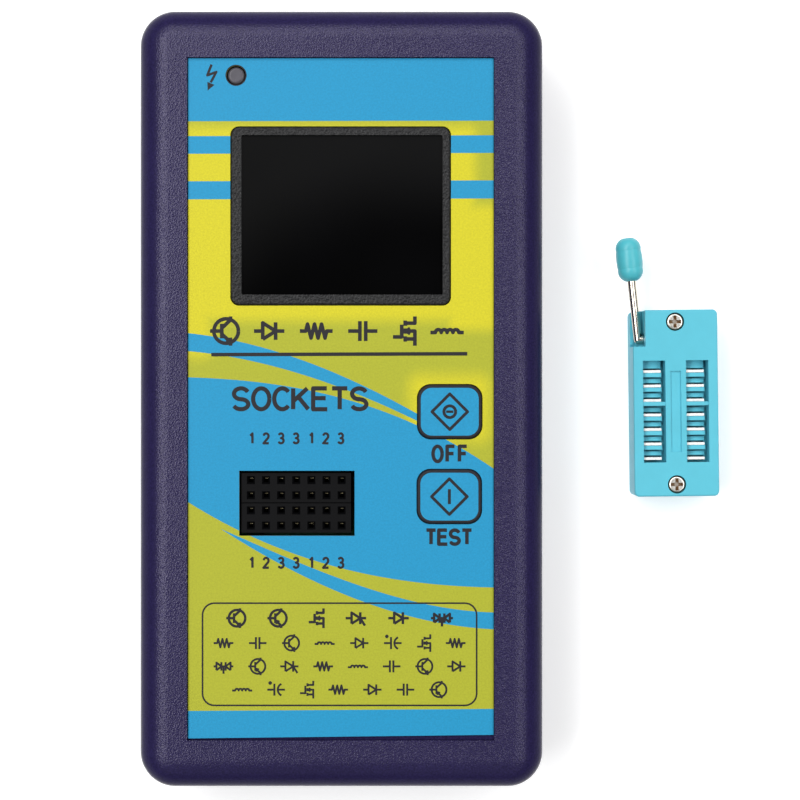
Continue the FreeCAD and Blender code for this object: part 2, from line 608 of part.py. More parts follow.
# ------------------------------------------------------------------ boards and chips
def main_board():
    low = "board_top - board_thickness"

    def through(x, y, dx, dy):
        return block(x, y, low + " - 1", "board_top + 1", dx, dy)

    board = box("0 - board_half_width", "board_near", low, "2 * board_half_width",
                "board_far - board_near", "board_thickness")
    holes = [rod(x, y, low + " - 1", "board_top + 1", "board_screw_radius + screw_room")
             for x, y in BOARD_SCREWS]
    for key_x, key_y in KEYS.values():
        holes += [through(x, y, "switch_leg_thickness + screw_room",
                          "switch_leg_width + screw_room")
                  for x, y in corners_about(key_x, key_y, "switch_leg_x", "switch_leg_y")]
    holes += [through(x, "led_y", "led_leg + key_gap", "led_leg + key_gap") for x in LED_LEGS]
    holes += [through("header_hole_x", header_row_y(row) + " + leaf_offset",
                      "(header_columns - 1) * pitch + 2 * leaf_width",
                      "leaf_thickness + screw_room") for row in HEADER_ROWS]
    return finished(cut(board, *holes), "main_board")


def microcontroller():
    """A surface-mount chip and its gull-wing leads along the two long sides."""
    finished(block("chip_x", "chip_y", "board_top + chip_lift",
                   "board_top + chip_lift + chip_height", "chip_length", "chip_depth"),
             "microcontroller")
    leads = []
    for side in ("-", "+"):
        edge = "chip_y %s chip_depth / 2" % side
        for i in range(int(size("chip_leads"))):
            x = "chip_x + (%d - (chip_leads - 1) / 2) * chip_pitch" % i
            foot = block(x, "%s %s chip_lead_reach / 2" % (edge, side), "board_top",
                         "board_top + chip_lead_thickness", "chip_lead_width", "chip_lead_reach")
            knee = block(x, "%s %s chip_lead_knee / 2" % (edge, side), "board_top",
                         "board_top + chip_height / 2", "chip_lead_width", "chip_lead_knee")
            leads.append(fuse(foot, knee))
    group(leads, "microcontroller_leads")


def on_board(x, y, dx, dy, height):
    """A block that stands on the board."""
    return block(x, y, "board_top", "board_top + " + height, dx, dy)


def circuit():
    """The other parts on the front of the board, in the space beside the headers."""
    regulator = on_board("regulator_x", "regulator_y", "regulator_width", "regulator_depth",
                         "regulator_height")
    tab = on_board("regulator_x", "regulator_y + (regulator_depth + tab_depth) / 2", "tab_width",
                   "tab_depth", "tab_height")
    group([regulator, tab], "voltage_regulator")
    can = on_board("crystal_x", "crystal_y", "crystal_length", "crystal_width", "crystal_height")
    finished(rounded(can, "crystal_corner", upright), "crystal")
    capacitors = []
    for x, y in CAPACITORS:
        seat = on_board(x, y, "can_seat", "can_seat", "can_seat_height")
        can = rod(x, y, "board_top", "board_top + can_height", "can_radius")
        capacitors.append(fuse(seat, can))
    group(capacitors, "electrolytic_capacitors")
    resistors = []
    for i in range(int(size("resistor_count"))):
        x = "resistor_x + resistor_spacing * %d" % i
        resistors.append(on_board(x, "resistor_far_y", "resistor_length", "resistor_width",
                                  "resistor_height"))
        resistors.append(on_board(x, "resistor_near_y", "resistor_width", "resistor_length",
                                  "resistor_height"))
    group(resistors, "chip_resistors")


# ------------------------------------------------------------------ lever socket
def zif(text):
    """A formula for an x measured from the socket's centre."""
    return "zif_x + (%s)" % text


def zif_along(text):
    """A formula for a y measured from the socket's centre."""
    return "zif_y + (%s)" % text


SLOTS = range(DIMENSIONS["header_columns"])
ROWS = ("0 - zif_window_row", "0 + zif_window_row")
PIN_ROWS = ("0 - zif_row", "0 + zif_row")
ENDS = ("0 + zif_screw_y", "0 - zif_screw_y")


def slot_y(slot, below):
    """The y of a line below the top of a contact slot."""
    return zif_along("zif_window_top - %s - %d * pitch" % (below, slot))


def rib(row, slot, below, deep, low, high, left="zif_rib_left"):
    """A rib across a window, beside one contact slot."""
    return block(zif("%s + (%s + zif_rib_right) / 2" % (row, left)), slot_y(slot, below), low,
                 high, "zif_rib_right - (%s)" % left, deep)


def askew(obj, label):
    """Finish a piece of the lever socket, turned about the socket's upright centre line."""
    middle = Vector(size("zif_x"), size("zif_y"), 0)
    turn = FreeCAD.Rotation(Vector(0, 0, 1), size("zif_turn"))
    obj.Placement = FreeCAD.Placement(Vector(), turn, middle).multiply(obj.Placement)
    return finished(obj, label)


def zif_base():
    plate = rounded_block("zif_x", "zif_y", "zif_base_low", "zif_base_top", "zif_width",
                          "zif_length", "zif_corner")
    slots = [block(zif(row), slot_y(slot, "blade_y"), "zif_base_low - 1", "zif_base_top + 1",
                   "neck_width + screw_room", "pin_thickness + screw_room")
             for row in PIN_ROWS for slot in SLOTS]
    holes = [rod("zif_x", zif_along(end), "zif_base_low + rail_height", "zif_base_top + 1",
                 "zif_screw_radius + bezel_gap") for end in ENDS]
    rail = block(zif("(rail_height - zif_width) / 2"), zif_along("rail_y"),
                 "zif_base_top - rail_height / 2", "zif_base_top + rail_height", "rail_height",
                 "rail_length")
    return askew(fuse(cut(plate, *(slots + holes)), rail), "zif_base")


def zif_cover():
    outer = rounded_block("zif_x", "zif_y", "zif_base_top", "zif_top", "zif_width", "zif_length",
                          "zif_corner")
    outer = rounded(outer, "zif_edge", at_height(size("zif_top")))
    room_top = "zif_base_top + zif_plate_thickness + zif_plate_room"
    plate_room = block("zif_x", zif_along("zif_plate_y - zif_plate_room"), "zif_base_top - 1",
                       room_top, "2 * zif_plate_half + 2 * zif_plate_room",
                       "zif_plate_length + 3 * zif_plate_room")
    notch = box(zif("0 - zif_width / 2 - 1"), zif_along("notch_near"), "zif_base_top - 1",
                "zif_width / 2 + 1 - notch_left", "zif_length / 2 - notch_near + 1",
                "zif_top - zif_base_top + 2")
    bar_way = box(zif("0 - zif_width / 2 - 1"), zif_along("lever_pivot_y - bar_room"),
                  "zif_base_top - 1", "zif_width / 2 + 1 + lever_bar_end + zif_plate_room",
                  "2 * bar_room", "lever_pivot_z + bar_room - zif_base_top + 1")
    windows = [box(zif("%s - zif_window_width / 2" % row),
                   zif_along("zif_window_top - zif_window_length"), "zif_base_top - 1",
                   "zif_window_width", "zif_window_length", "zif_top - zif_base_top + 2")
               for row in ROWS]
    groove = block("zif_x", zif_along("zif_groove_y"), "zif_top - zif_groove_depth",
                   "zif_top + 1", "zif_groove_width", "zif_groove_length")
    head_low = "zif_top - zif_screw_drop - zif_screw_head_height"
    sinks = [rod("zif_x", zif_along(end), head_low, "zif_top + 1",
                 "zif_screw_head_radius + zif_screw_room") for end in ENDS]
    holes = [rod("zif_x", zif_along(end), "zif_base_top - 1", "zif_top + 1",
                 "zif_screw_radius + zif_screw_room") for end in ENDS]
    shell = cut(outer, plate_room, notch, bar_way, groove, *(windows + sinks + holes))
    wall = "0 - zif_window_width / 2 - zif_screw_room"
    ribs = [rib(row, slot, "fixed_rib_y", "fixed_rib_deep", room_top, "zif_fixed_rib_top", wall)
            for row in ROWS for slot in SLOTS if slot > 0]
    ribs += [rib(row, 0, "end_rib_y", "end_rib_deep", room_top, "zif_fixed_rib_top", wall)
             for row in ROWS]
    bars = [block(zif(row), slot_y(2, "bar_y"), "zif_bar_low", "zif_bar_top",
                  "zif_window_width + 4 * zif_screw_room", "bar_deep") for row in ROWS]
    return askew(fuse(shell, *(ribs + bars)), "zif_cover")


def zif_slider():
    """The plate that the lever pushes, with one rib beside each contact."""
    plate = block("zif_x", zif_along("zif_plate_y"), "zif_base_top + pin_gap",
                  "zif_base_top + zif_plate_thickness", "2 * zif_plate_half",
                  "zif_plate_length")
    slots = [rib(row, slot, "plate_slot_y", "plate_slot_deep", "zif_base_top - 1",
                 "zif_base_top + 3") for row in ROWS for slot in SLOTS]
    ribs = [rib(row, slot, "slider_rib_y", "slider_rib_deep", "zif_base_top + zif_plate_thickness / 3",
                "zif_rib_top") for row in ROWS for slot in SLOTS[:-1]]
    return askew(fuse(cut(plate, *slots), *ribs), "zif_slider")


def zif_contacts():
    """Fourteen forked contacts with solder pins below the base."""
    made = []
    for row, pin_row in zip(ROWS, PIN_ROWS):
        for slot in SLOTS:
            x, y = zif(pin_row), slot_y(slot, "blade_y")
            jaw_x = zif(row + " + blade_x")
            pin = block(x, y, "0", "zif_base_low", "pin_width", "pin_thickness")
            neck = block(x, y, "zif_base_low", "zif_neck_top", "neck_width", "pin_thickness")
            jaw = block(jaw_x, y, "zif_neck_top", "zif_blade_top", "blade_width",
                        "blade_thickness")
            gap = block(jaw_x, y, "zif_blade_top - fork_depth", "zif_blade_top + 1", "fork_gap",
                        "2 * blade_thickness")
            made.append(cut(fuse(pin, neck, jaw), gap))
    return askew(group_of(made), "zif_contacts")


def zif_screws():
    """Two round-headed cross screws that hold the cover down."""
    made = []
    head_top = "zif_top - zif_screw_drop"
    head_low = head_top + " - zif_screw_head_height"
    for end in ENDS:
        y = zif_along(end)
        head = rounded(rod("zif_x", y, head_low, head_top, "zif_screw_head_radius"),
                       "zif_head_edge", at_height(size(head_top)))
        shank = rod("zif_x", y, head_low + " - zif_screw_length", head_low + " + pin_gap",
                    "zif_screw_radius")
        reach, half = "2 * zif_cross_reach", "2 * zif_cross_half"
        floor = head_top + " - zif_cross_depth"
        cross = [block("zif_x", y, floor, "zif_top + 1", reach, half),
                 block("zif_x", y, floor, "zif_top + 1", half, reach)]
        made.append(cut(fuse(head, shank), *cross))
    return askew(group_of(made), "zif_cover_screws")


def knob_outline():
    """Half of the knob's lengthwise section: flat ends, round shoulders and a slight belly."""
    half, flat, full = size("knob_length / 2"), size("knob_flat"), size("knob_radius")
    shoulder, waist = half - size("knob_shoulder"), full - size("knob_waist")
    diagonal = math.sqrt(0.5)
    across, along = flat + (waist - flat) * diagonal, shoulder + (half - shoulder) * diagonal
    return Part.Wire([
        Part.LineSegment(Vector(0, -half, 0), Vector(flat, -half, 0)).toShape(),
        Part.Arc(Vector(flat, -half, 0), Vector(across, -along, 0),
                 Vector(waist, -shoulder, 0)).toShape(),
        Part.Arc(Vector(waist, -shoulder, 0), Vector(full, 0, 0),
                 Vector(waist, shoulder, 0)).toShape(),
        Part.Arc(Vector(waist, shoulder, 0), Vector(across, along, 0),
                 Vector(flat, half, 0)).toShape(),
        Part.LineSegment(Vector(flat, half, 0), Vector(0, half, 0)).toShape(),
        Part.LineSegment(Vector(0, half, 0), Vector(0, -half, 0)).toShape(),
    ])


def zif_lever():
    """A bent steel rod, the cam bar across the socket and the arm out to the knob."""
    x, y, z = zif("lever_x"), zif_along("lever_pivot_y"), "lever_pivot_z"
    bar_length = "(lever_bar_end - lever_x)"
    bar = level_rod(x, y, z, bar_length, "lever_radius", 0)
    cam = level_rod("%s + cam_start * %s" % (x, bar_length), y, z + " + cam_rise",
                    "cam_length * " + bar_length, "lever_radius", 0)
    heading = 90 + size("lever_lean")
    arm = level_rod(x, y, z, "lever_length + knob_length / 2", "lever_radius", heading)
    elbow = doc.addObject("Part::Sphere", "Elbow")
    bind(elbow, Radius="lever_radius", Base_x=x, Base_y=y, Base_z=z)
    askew(fuse(bar, cam, arm, elbow), "zif_lever_rod")
    half = size("knob_length / 2")
    out = size("lever_length") + half
    along = Vector(math.cos(math.radians(heading)), math.sin(math.radians(heading)), 0)
    knob = Part.Face(knob_outline()).revolve(Vector(0, 0, 0), Vector(0, 1, 0), 360)
    bore = Part.makeCylinder(size("lever_radius"), half + 1, Vector(0, -half - 1, 0),
                             Vector(0, 1, 0))
    handle = doc.addObject("Part::Feature", "Knob")
    handle.Shape = knob.cut(bore)
    handle.Placement = FreeCAD.Placement(
        Vector(size(x), size(y), size(z)) + along * out,
        FreeCAD.Rotation(Vector(0, 0, 1), size("lever_lean")))
    askew(handle, "zif_lever_knob")


# ------------------------------------------------------------------ the whole tester
def build():
    front_case()
    outside = rear_outside()
    rear_case(outside)
    battery_door(outside)
    overlay_film()
    display()
    test_header("test_header_upper", "(header_hole_y + pitch)")
    test_header("test_header_lower", "(header_hole_y - pitch)")
    header_contacts()
    for name, (x, y) in KEYS.items():
        key(name, x, y)
    indicator_led()
    main_board()
    microcontroller()
    circuit()
    battery()
    lead("battery_lead_red", "red_lead_x")
    lead("battery_lead_black", "black_lead_x")
    screws("case_screws", CASE_SCREWS, "counterbore_depth - screw_head_height - bezel_gap",
           "screw_head_radius", "screw_head_height", "screw_radius", "screw_length")
    screws("board_screws", BOARD_SCREWS,
           "board_top - board_thickness - board_screw_head_height", "board_screw_head_radius",
           "board_screw_head_height", "board_screw_radius", "board_screw_length")
    zif_base()
    zif_cover()
    zif_slider()
    zif_contacts()
    zif_screws()
    zif_lever()


def check_document():
    """Stop on a failed object, an invalid shape or a pocket that removed nothing."""
    for obj in doc.Objects:
        if "Invalid" in obj.State or "Error" in obj.State:
            raise RuntimeError("%s (%s) failed: %s" % (obj.Name, obj.Label, obj.State))
        if obj.TypeId == "PartDesign::Pocket":
            if obj.Shape.Volume >= obj.BaseFeature.Shape.Volume - 1e-3:
                raise RuntimeError("%s in %s cuts nothing" % (obj.Name, obj.getParent().Label))
    for obj in NODES:
        shape = obj.Shape
        if shape.isNull() or not shape.isValid() or not shape.Solids:
            raise RuntimeError("%s has no valid solid" % obj.Label)


build()
doc.recompute()
check_document()
os.makedirs("parts", exist_ok=True)
for node in NODES:
    node.Shape.exportStep("parts/%s.step" % node.Label)
    print("%-26s %3d solids %10.1f mm3" % (node.Label, len(node.Shape.Solids), node.Shape.Volume))
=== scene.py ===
import math

import bmesh
import bpy
from mathutils import Matrix, Vector
from mathutils.geometry import delaunay_2d_cdt


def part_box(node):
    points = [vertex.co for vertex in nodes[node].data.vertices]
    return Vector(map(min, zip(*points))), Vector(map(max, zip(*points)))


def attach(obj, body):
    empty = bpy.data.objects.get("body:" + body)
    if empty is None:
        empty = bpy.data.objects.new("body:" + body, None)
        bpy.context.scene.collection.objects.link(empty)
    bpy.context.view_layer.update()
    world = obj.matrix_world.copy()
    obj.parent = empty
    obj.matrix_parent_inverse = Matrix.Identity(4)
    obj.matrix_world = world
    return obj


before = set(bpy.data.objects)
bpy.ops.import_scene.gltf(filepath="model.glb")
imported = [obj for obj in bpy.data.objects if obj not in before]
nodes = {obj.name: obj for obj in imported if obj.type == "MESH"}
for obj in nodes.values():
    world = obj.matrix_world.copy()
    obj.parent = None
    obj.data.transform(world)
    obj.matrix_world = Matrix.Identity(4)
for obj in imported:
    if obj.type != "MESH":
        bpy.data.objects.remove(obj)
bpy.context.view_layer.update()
MM = 0.001


# ---------------------------------------------------------------- places, from the frame
def centre(node):
    low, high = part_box(node)
    return (low + high) / 2


def top_of(node):
    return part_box(node)[1].z


film_low, film_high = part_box("overlay_film")
FILM_TOP = film_high.z
PRINT_STEP = 0.012 * MM            # each printed layer stands this far above the last


# ---------------------------------------------------------------- material helpers
def new_material(name):
    mat = bpy.data.materials.new(name)
    mat.use_nodes = True
    tree = mat.node_tree
    tree.nodes.clear()
    out = tree.nodes.new("ShaderNodeOutputMaterial")
    shader = tree.nodes.new("ShaderNodeBsdfPrincipled")
    tree.links.new(shader.outputs[0], out.inputs["Surface"])
    return mat, tree, shader


def add(tree, kind, **settings):
    """A node with its properties and input values set by name."""
    node = tree.nodes.new("ShaderNode" + kind)
    for name, value in settings.items():
        if hasattr(node, name):
            setattr(node, name, value)
        else:
            node.inputs[name.replace("_", " ")].default_value = value
    return node


def place(tree):
    """The row frame's own coordinates, in metres."""
    return add(tree, "TexCoord").outputs["Object"]


def noise(tree, scale, detail=3.0, rough=0.5):
    node = add(tree, "TexNoise", Scale=scale, Detail=detail, Roughness=rough)
    tree.links.new(place(tree), node.inputs["Vector"])
    return node.outputs["Fac"]


def ramp(tree, value, stops):
    """Colours along a value: stops are (position, (r, g, b))."""
    node = add(tree, "ValToRGB")
    elements = node.color_ramp.elements
    while len(elements) < len(stops):
        elements.new(0.5)
    for element, (position, colour) in zip(elements, stops):
        element.position = position
        element.color = (*colour, 1.0)
    tree.links.new(value, node.inputs[0])
    return node.outputs[0]


def spread(tree, value, low, high):
    """A 0 to 1 value mapped to low to high."""
    node = add(tree, "MapRange", To_Min=low, To_Max=high)
    tree.links.new(value, node.inputs["Value"])
    return node.outputs[0]


def multiplied(tree, first, second):
    """The product of two colours."""
    mix = add(tree, "Mix", data_type="RGBA", blend_type="MULTIPLY")
    mix.inputs[0].default_value = 1.0
    tree.links.new(first, mix.inputs[6])
    tree.links.new(second, mix.inputs[7])
    return mix.outputs[2]


def larger(tree, first, second):
    """The larger of two values, or the second where there is no first."""
    if first is None:
        return second
    most = add(tree, "Math", operation="MAXIMUM")
    tree.links.new(first, most.inputs[0])
    tree.links.new(second, most.inputs[1])
    return most.outputs[0]


def bump(tree, shader, height, strength, distance):
    node = add(tree, "Bump", Strength=strength, Distance=distance)
    tree.links.new(height, node.inputs["Height"])
    tree.links.new(node.outputs[0], shader.inputs["Normal"])
    return node


def linear(r, g, b):
    """A colour given as it looks on a screen, 0 to 255, as the renderer wants it."""
    def channel(c):
        c /= 255.0
        return c / 12.92 if c <= 0.04045 else ((c + 0.055) / 1.055) ** 2.4
    return tuple(channel(c) for c in (r, g, b))


def scaled(colour, k):
    return tuple(min(1.0, c * k) for c in colour)


def coordinates(tree):
    """The row frame's own coordinates in metres, as outputs named X, Y and Z."""
    split = add(tree, "SeparateXYZ")
    tree.links.new(place(tree), split.inputs[0])
    return split.outputs


def away_from(tree, value, middle):
    """How far a value lies from a fixed one, either way."""
    offset = add(tree, "Math", operation="SUBTRACT")
    tree.links.new(value, offset.inputs[0])
    offset.inputs[1].default_value = middle
    away = add(tree, "Math", operation="ABSOLUTE")
    tree.links.new(offset.outputs[0], away.inputs[0])
    return away.outputs[0]


def eased(tree, value, start, end, first=1.0, last=0.0):
    """The first number up to the start value, the last one from the end value on, and a smooth
    change between."""
    node = add(tree, "MapRange", interpolation_type="SMOOTHSTEP", From_Min=start, From_Max=end,
               To_Min=first, To_Max=last)
    tree.links.new(value, node.inputs["Value"])
    return node.outputs[0]


def within_bands(tree, bands, fade):
    """1 within any of some (low, high) ranges of height, fading to 0 over a distance beyond them,
    all in metres."""
    height = coordinates(tree)["Z"]
    amount = None
    for low, high in bands:
        away = away_from(tree, height, (low + high) / 2)
        half = (high - low) / 2
        amount = larger(tree, amount, eased(tree, away, half, half + fade))
    return amount


def near_rectangles(tree, rectangles):
    """1 within any of some rectangles, fading to 0 round them. Each is given as (x, y,
    half width, half height, fade) in millimetres."""
    position = coordinates(tree)
    amount = None
    for x, y, half_x, half_y, fade in rectangles:
        reach = add(tree, "CombineXYZ")
        for axis, middle, half in (("X", x, half_x), ("Y", y, half_y)):
            beyond = add(tree, "Math", operation="SUBTRACT", use_clamp=True)
            tree.links.new(away_from(tree, position[axis], middle * MM), beyond.inputs[0])
            beyond.inputs[1].default_value = half * MM
            tree.links.new(beyond.outputs[0], reach.inputs[axis])
        distance = add(tree, "VectorMath", operation="LENGTH")
        tree.links.new(reach.outputs[0], distance.inputs[0])
        glow = eased(tree, distance.outputs["Value"], 0.0, fade * MM)
        amount = larger(tree, amount, glow)
    return amount


# ---------------------------------------------------------------- kinds of finish
def grained_plastic(name, colour, grain, depth, rough=(0.3, 0.42), specular=0.5, flats=(),
                    shine=(1.0, 1.0, 1.0)):
    """Moulded ABS with a spark-eroded grain, seen in colour, gloss and relief. Where flats are
    given as (low, high) heights, the gloss and most of the relief stay within them, and the
    rounded shoulders between them are matt."""
    mat, tree, shader = new_material(name)
    pits = add(tree, "TexVoronoi", Scale=grain, feature="SMOOTH_F1", Smoothness=0.5)
    tree.links.new(place(tree), pits.inputs["Vector"])
    fine = noise(tree, grain * 0.8, 3.0, 0.6)
    cloud = noise(tree, grain * 0.02, 3.0)
    tint = ramp(tree, fine, [(0.36, scaled(colour, 0.75)), (0.64, scaled(colour, 1.3))])
    wide = ramp(tree, cloud, [(0.3, (0.93, 0.93, 0.93)), (0.7, (1.0, 1.0, 1.0))])
    tree.links.new(multiplied(tree, tint, wide), shader.inputs["Base Color"])
    tree.links.new(spread(tree, fine, *rough), shader.inputs["Roughness"])
    shader.inputs["Specular IOR Level"].default_value = specular
    shader.inputs["Specular Tint"].default_value = (*shine, 1.0)
    both = add(tree, "Math", operation="ADD")
    tree.links.new(pits.outputs["Distance"], both.inputs[0])
    tree.links.new(fine, both.inputs[1])
    relief = bump(tree, shader, both.outputs[0], 1.0, depth)
    if flats:
        shoulder_relief, shoulder_gloss = 0.1, 0.03
        mask = within_bands(tree, flats, 0.6 * MM)
        tree.links.new(spread(tree, mask, shoulder_relief, 1.0), relief.inputs["Strength"])
        tree.links.new(spread(tree, mask, shoulder_gloss, specular),
                       shader.inputs["Specular IOR Level"])
    return mat


def smooth_plastic(name, colour, rough=0.32, specular=0.5, variation=0.06, relief=0.004):
    """Polished moulding: faint flow marks and a little unevenness."""
    mat, tree, shader = new_material(name)
    flow = noise(tree, 240.0, 4.0, 0.6)
    tint = ramp(tree, flow, [(0.3, scaled(colour, 1 - variation)),
                             (0.7, scaled(colour, 1 + variation))])
    tree.links.new(tint, shader.inputs["Base Color"])
    fine = noise(tree, 3500.0, 2.0)
    tree.links.new(spread(tree, fine, rough - 0.06, rough + 0.08), shader.inputs["Roughness"])
    shader.inputs["Specular IOR Level"].default_value = specular
    bump(tree, shader, fine, 0.6, relief * MM)
    return mat


def metal(name, colour, rough=(0.18, 0.34), grain=(900.0, 900.0, 90.0), relief=0.002,
          recess_shade_colour=None):
    """Plated or drawn metal with fine marks along one way, and painted shade in its crevices: an
    ambient occlusion node darkens them towards a given colour.
    """
    mat, tree, shader = new_material(name)
    shader.inputs["Metallic"].default_value = 1.0
    stretch = add(tree, "Mapping")
    stretch.inputs["Scale"].default_value = grain
    tree.links.new(place(tree), stretch.inputs["Vector"])
    marks = add(tree, "TexNoise", Scale=4.0, Detail=4.0)
    tree.links.new(stretch.outputs[0], marks.inputs["Vector"])
    tint = ramp(tree, marks.outputs["Fac"], [(0.3, scaled(colour, 0.85)), (0.7, colour)])
    if recess_shade_colour:
        # painted shade: an ambient occlusion node darkens the crevices towards the recess shade
        # colour
        shelter = add(tree, "AmbientOcclusion", Distance=0.8 * MM)
        occlusion_shade = ramp(tree, shelter.outputs["AO"], [(0.5, recess_shade_colour), (0.95, (1.0, 1.0, 1.0))])
        tint = multiplied(tree, tint, occlusion_shade)
    tree.links.new(tint, shader.inputs["Base Color"])
    tree.links.new(spread(tree, marks.outputs["Fac"], *rough), shader.inputs["Roughness"])
    bump(tree, shader, marks.outputs["Fac"], 0.5, relief * MM)
    return mat


def printed_film(name, low_colour, high_colour, glows=()):
    """Screen-printed polyester with a fine matt grain. The colour turns from the first to the
    second near the glows, given as for near_rectangles, or else in soft clouds."""
    mat, tree, shader = new_material(name)
    speck = noise(tree, 3200.0, 3.0, 0.7)
    if glows:
        amount = near_rectangles(tree, glows)
    else:
        amount = spread(tree, noise(tree, 60.0, 3.0), 0.35, 0.65)
    tint = ramp(tree, amount, [(0.0, low_colour), (1.0, high_colour)])
    grain = ramp(tree, speck, [(0.36, (0.88, 0.88, 0.88)), (0.64, (1.02, 1.02, 1.02))])
    tree.links.new(multiplied(tree, tint, grain), shader.inputs["Base Color"])
    tree.links.new(spread(tree, speck, 0.42, 0.6), shader.inputs["Roughness"])
    shader.inputs["Specular IOR Level"].default_value = 0.25
    bump(tree, shader, speck, 0.5, 0.006 * MM)
    return mat


def display_glass(name):
    """The dark display window: near-black with a faint sheen and dust."""
    mat, tree, shader = new_material(name)
    cloud = noise(tree, 30.0, 2.0)
    tint = ramp(tree, cloud, [(0.35, linear(3, 3, 3)), (0.7, linear(7, 7, 8))])
    tree.links.new(tint, shader.inputs["Base Color"])
    fine = noise(tree, 1200.0, 2.0)
    tree.links.new(spread(tree, fine, 0.02, 0.04), shader.inputs["Roughness"])
    shader.inputs["Specular IOR Level"].default_value = 0.5
    bump(tree, shader, fine, 0.1, 0.0005 * MM)
    return mat


# ---------------------------------------------------------------- the materials in use
PURPLE = linear(37, 32, 67)
YELLOW = linear(206, 197, 33)
OLIVE = linear(169, 172, 44)
CYAN = linear(29, 144, 190)
INK = linear(31, 29, 34)
TEAL = linear(87, 186, 206)

CASE_TOP = top_of("front_case")
DECK = 0.3 * MM                    # the gloss reaches this far down from a flat face
SHOULDER = 5.5 * MM                # the rounded shoulder's height, from a flat face to the wall
CASE_FLATS = ((0.0, DECK), (SHOULDER, CASE_TOP - SHOULDER), (CASE_TOP - DECK, CASE_TOP))
# the brighter yellow: round the display, round the OFF key, and down the film's two sides
FILM_GLOWS = ((-2.0, 29.4, 23.0, 14.7, 3.2), (18.2, -1.6, 4.6, 3.4, 4.2),
              (-24.6, 21.0, 1.0, 12.0, 4.0), (22.0, 22.0, 2.6, 9.0, 3.0))
MATERIALS = {
    "case": grained_plastic("case_abs", PURPLE, 4400.0, 0.045 * MM, (0.2, 0.28), 0.36,
                            flats=CASE_FLATS, shine=(0.84, 0.8, 1.0)),
    "bezel": grained_plastic("bezel_abs", linear(31, 31, 32), 2500.0, 0.12 * MM, (0.26, 0.4), 0.2),
    "film": printed_film("film_yellow", OLIVE, YELLOW, FILM_GLOWS),
    "cyan": printed_film("film_cyan", scaled(CYAN, 0.96), scaled(CYAN, 1.04)),
    "ink": printed_film("film_ink", scaled(INK, 0.9), scaled(INK, 1.1)),
    "window": display_glass("display_glass"),
    "header": smooth_plastic("header_black", linear(4, 4, 6), 0.5, 0.1, 0.25, 0.02),
    "black": smooth_plastic("moulded_black", linear(26, 26, 28), 0.45, 0.4, 0.15, 0.01),
    "teal": smooth_plastic("socket_teal", TEAL, 0.42, 0.35, 0.03, 0.006),
    "knob": smooth_plastic("knob_teal", linear(78, 181, 193), 0.36, 0.4, 0.05, 0.006),
    "led": smooth_plastic("led_lens", linear(75, 73, 81), 0.35, 0.4, 0.2, 0.02),
    "gold": metal("contact_gold", linear(225, 210, 165)),
    "tin": metal("contact_tin", linear(244, 244, 242), (0.42, 0.6)),
    "steel": metal("rod_nickel", linear(226, 218, 204), (0.2, 0.26), relief=0.0),
    # the screws get painted shade in their crevices, a tan darkening from ambient occlusion
    "screw": metal("screw_zinc", linear(240, 238, 230), (0.22, 0.4), recess_shade_colour=linear(150, 118, 88)),
    "board": smooth_plastic("solder_mask", linear(22, 92, 50), 0.3, 0.5, 0.12, 0.01),
    "chip": smooth_plastic("chip_epoxy", linear(38, 38, 40), 0.5, 0.4, 0.1, 0.01),
    "can": metal("can_aluminium", linear(205, 207, 210), (0.25, 0.45)),
    "battery": smooth_plastic("battery_jacket", linear(48, 50, 58), 0.3, 0.5, 0.15, 0.01),
    "foam": grained_plastic("foam_grey", linear(58, 58, 60), 1400.0, 0.2 * MM, (0.8, 0.95)),
    "red": smooth_plastic("lead_red", linear(190, 32, 30), 0.45),
    "lead": smooth_plastic("lead_black", linear(28, 28, 28), 0.45),
    "white": smooth_plastic("light_guide", linear(232, 234, 230), 0.35),
    "amber": smooth_plastic("ribbon_amber", linear(205, 130, 50), 0.3),
    "brown": smooth_plastic("plunger_brown", linear(120, 52, 36), 0.45),
}
NODE_MATERIALS = {
    "front_case": "case", "rear_case": "case", "battery_door": "case", "overlay_film": "film",
    "display_bezel": "bezel", "display_window": "window", "lcd_panel": "window",
    "lcd_backlight": "white", "lcd_flex": "amber", "test_header_upper": "header",
    "test_header_lower": "header", "header_contacts": "gold", "off_key_cap": "ink",
    "test_key_cap": "ink", "off_switch_body": "black", "test_switch_body": "black",
    "off_switch_plunger": "brown", "test_switch_plunger": "brown", "off_switch_legs": "tin",
    "test_switch_legs": "tin", "indicator_led": "led", "main_board": "board",
    "microcontroller": "chip", "microcontroller_leads": "tin", "voltage_regulator": "chip",
    "crystal": "can", "electrolytic_capacitors": "can", "chip_resistors": "chip",
    "battery_9v": "battery", "battery_terminals": "tin", "battery_snap": "black",
    "battery_foam": "foam", "battery_lead_red": "red", "battery_lead_black": "lead",
    "case_screws": "screw", "board_screws": "screw", "zif_base": "teal", "zif_cover": "teal",
    "zif_slider": "teal", "zif_contacts": "tin", "zif_cover_screws": "screw",
    "zif_lever_rod": "steel", "zif_lever_knob": "knob",
}
for node, material in NODE_MATERIALS.items():
    nodes[node].data.materials.clear()
    nodes[node].data.materials.append(MATERIALS[material])


# ---------------------------------------------------------------- flat printed artwork
def segment_shape(a, b, width):
    """The rectangle round one straight stroke."""
    a, b = Vector(a), Vector(b)
    side = (b - a).orthogonal().normalized() * width / 2
    return [a + side, a - side, b - side, b + side]


def disc(x, y, radius, steps=28):
    return [Vector((x + radius * math.cos(2 * math.pi * i / steps),
                    y + radius * math.sin(2 * math.pi * i / steps))) for i in range(steps)]


def rounded_rectangle(x, y, width, height, radius, steps=8):
    points = []
    for quarter, (sx, sy) in enumerate(((1, 1), (-1, 1), (-1, -1), (1, -1))):
        cx, cy = x + sx * (width / 2 - radius), y + sy * (height / 2 - radius)
        for i in range(steps + 1):
            a = math.pi / 2 * (quarter + i / steps)
            points.append(Vector((cx + radius * math.cos(a), cy + radius * math.sin(a))))
    return points


def rectangle(left, foot, right, head):
    return [(left, foot), (right, foot), (right, head), (left, head)]


